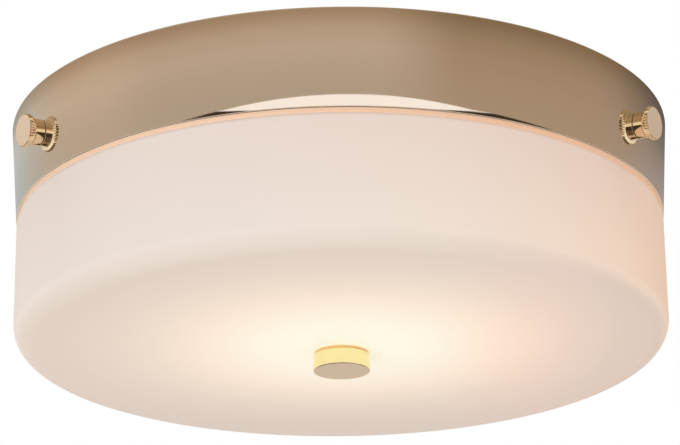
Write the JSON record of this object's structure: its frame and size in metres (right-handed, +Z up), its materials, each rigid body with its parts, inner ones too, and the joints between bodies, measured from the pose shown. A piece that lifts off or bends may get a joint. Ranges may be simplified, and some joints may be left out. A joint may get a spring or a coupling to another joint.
{
  "type": "flush mount ceiling light",
  "caption": "Round flush ceiling light: tapered polished metal canopy with knurled thumb screws, opal glass drum held by a centre finial.",
  "frame": {"origin": "centre of the face that lies on the ceiling", "axes": "+Z up into the ceiling, along the light's axis; -Y towards the front; +X to the right seen from the front"},
  "size_m": [0.2398, 0.2495, 0.089],
  "materials": {
    "polished_metal": "polished pale gold plating",
    "opal_glass": "satin opal",
    "dark_washer": "matt",
    "clear_washer": "translucent nylon",
    "zinc_steel": "zinc plated",
    "aluminium": "plain",
    "brass": "plain",
    "white_enamel": "gloss white",
    "white_foam": "closed-cell foam",
    "black_rubber": "matt",
    "white_plastic": "matt",
    "ceramic": "unglazed steatite",
    "lamp_base": "gloss",
    "lamp_cover": "frosted",
    "sleeving": "woven glass fibre",
    "wire": "silicone insulation",
    "earth_wire": "PVC insulation"
  },
  "bodies": {
    "ceiling_body": {"ceiling_plate": "zinc_steel", "cable_grommet": "black_rubber", "canopy": "polished_metal", "gear_tray": "white_enamel", "tray_screws": "zinc_steel", "glass_gasket": "white_foam", "centre_rod": "zinc_steel", "rod_top_nut": "zinc_steel", "rod_lower_nut": "zinc_steel", "rod_washers": "zinc_steel", "terminal_block": "white_plastic", "terminal_screws": "brass", "block_screw": "zinc_steel", "earth_stud": "brass", "earth_tag": "brass", "earth_nut": "brass", "earth_wire": "earth_wire", "screw_bush_left": "polished_metal", "bush_nut_left": "zinc_steel", "screw_bush_right": "polished_metal", "bush_nut_right": "zinc_steel", "screw_bush_rear": "polished_metal", "bush_nut_rear": "zinc_steel", "lamp_holder_rear": "ceramic", "holder_bracket_rear": "zinc_steel", "holder_screws_rear": "zinc_steel", "bracket_rivets_rear": "aluminium", "lamp_sleeve_rear": "sleeving", "lamp_wires_rear": "wire", "lamp_holder_front": "ceramic", "holder_bracket_front": "zinc_steel", "holder_screws_front": "zinc_steel", "bracket_rivets_front": "aluminium", "lamp_sleeve_front": "sleeving", "lamp_wires_front": "wire"},
    "glass": {"glass_shade": "opal_glass", "glass_bush": "clear_washer"},
    "finial_washer_body": {"finial_washer": "clear_washer"},
    "finial_body": {"finial": "polished_metal"},
    "screw_washer_body_left": {"screw_washer_left": "dark_washer"},
    "thumb_screw_body_left": {"thumb_screw_left": "polished_metal", "screw_stem_left": "zinc_steel"},
    "screw_washer_body_right": {"screw_washer_right": "dark_washer"},
    "thumb_screw_body_right": {"thumb_screw_right": "polished_metal", "screw_stem_right": "zinc_steel"},
    "screw_washer_body_rear": {"screw_washer_rear": "dark_washer"},
    "thumb_screw_body_rear": {"thumb_screw_rear": "polished_metal", "screw_stem_rear": "zinc_steel"},
    "lamp_rear": {"lamp_base_rear": "lamp_base", "lamp_dome_rear": "lamp_cover"},
    "lamp_front": {"lamp_base_front": "lamp_base", "lamp_dome_front": "lamp_cover"}
  },
  "joints": [
    {"name": "glass_drop", "type": "slide", "parent": "ceiling_body", "child": "glass", "axis": [0, 0, -1], "range_m": [0, 0.092]},
    {"name": "finial_travel", "type": "slide", "parent": "glass", "child": "finial_washer_body", "axis": [0, 0, -1], "range_m": [0, 0.004]},
    {"name": "finial_turn", "type": "hinge", "parent": "finial_washer_body", "child": "finial_body", "pos_m": [0, 0, -0.086], "axis": [0, 0, -1], "range_deg": [0, 1440]},
    {"name": "screw_travel_left", "type": "slide", "parent": "ceiling_body", "child": "screw_washer_body_left", "axis": [-0.8369, -0.5435, -0.0656], "range_m": [0, 0.0045]},
    {"name": "screw_turn_left", "type": "hinge", "parent": "screw_washer_body_left", "child": "thumb_screw_body_left", "pos_m": [-0.09943, -0.06457, -0.022], "axis": [-0.8369, -0.5435, -0.0656], "range_deg": [0, 3240]},
    {"name": "screw_travel_right", "type": "slide", "parent": "ceiling_body", "child": "screw_washer_body_right", "axis": [0.8369, -0.5435, -0.0656], "range_m": [0, 0.0045]},
    {"name": "screw_turn_right", "type": "hinge", "parent": "screw_washer_body_right", "child": "thumb_screw_body_right", "pos_m": [0.09943, -0.06457, -0.022], "axis": [0.8369, -0.5435, -0.0656], "range_deg": [0, 3240]},
    {"name": "screw_travel_rear", "type": "slide", "parent": "ceiling_body", "child": "screw_washer_body_rear", "axis": [0, 0.9978, -0.0656], "range_m": [0, 0.0045]},
    {"name": "screw_turn_rear", "type": "hinge", "parent": "screw_washer_body_rear", "child": "thumb_screw_body_rear", "pos_m": [0, 0.11855, -0.022], "axis": [0, 0.9978, -0.0656], "range_deg": [0, 3240]},
    {"name": "lamp_pull_rear", "type": "slide", "parent": "ceiling_body", "child": "lamp_rear", "axis": [1, 0, 0], "range_m": [0, 0.009]},
    {"name": "lamp_pull_front", "type": "slide", "parent": "ceiling_body", "child": "lamp_front", "axis": [-1, 0, 0], "range_m": [0, 0.009]}
  ],
  "couplings": [
    {"joint": "finial_travel", "follows": "finial_turn", "m_per_rad": 0.00015915},
    {"joint": "screw_travel_left", "follows": "screw_turn_left", "m_per_rad": 0.000079577},
    {"joint": "screw_travel_right", "follows": "screw_turn_right", "m_per_rad": 0.000079577},
    {"joint": "screw_travel_rear", "follows": "screw_turn_rear", "m_per_rad": 0.000079577}
  ]
}
